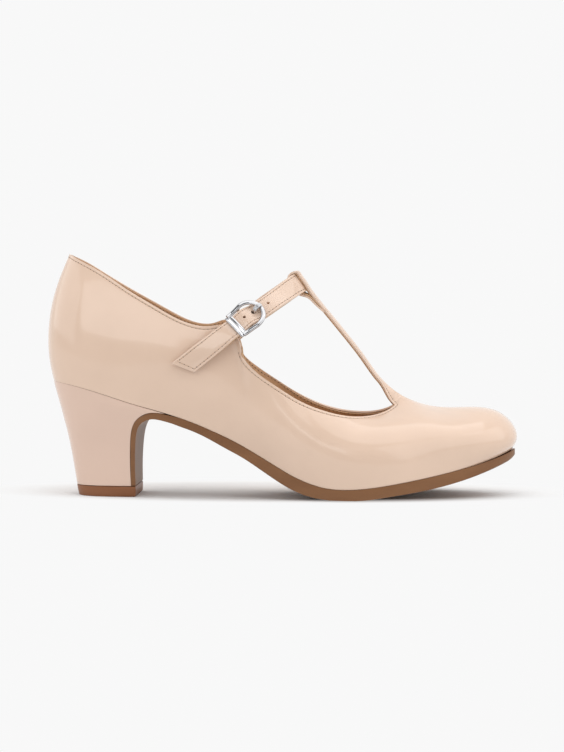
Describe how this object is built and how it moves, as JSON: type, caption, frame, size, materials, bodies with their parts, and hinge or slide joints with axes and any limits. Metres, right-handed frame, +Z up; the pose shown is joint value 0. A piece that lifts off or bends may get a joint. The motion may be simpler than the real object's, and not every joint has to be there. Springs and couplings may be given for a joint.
{
  "type": "t strap shoe",
  "caption": "Women's right T-strap court shoe in patent leather with a covered block heel, low front, and an ankle strap that buckles on the outer side.",
  "frame": {"origin": "on the floor under the middle of the shoe's box", "axes": "+X from the heel to the toe, -Y to the outer (lateral) side, +Z up; metres"},
  "size_m": [0.2348, 0.0784, 0.1205],
  "materials": {
    "patent_leather": "nude patent, high gloss",
    "covered_heel": "nude patent covering over a moulded block",
    "resin_sole": "brown, satin",
    "heel_lift": "brown, satin",
    "lining_leather": "tan, matt",
    "buckle_metal": "polished"
  },
  "bodies": {
    "root": {"upper": "patent_leather", "outsole": "resin_sole", "heel": "covered_heel", "top_piece": "heel_lift", "insole": "lining_leather", "ankle_strap": "patent_leather", "buckle_frame": "buckle_metal", "buckle_prong": "buckle_metal", "buckle_tab": "patent_leather"}
  },
  "joints": []
}
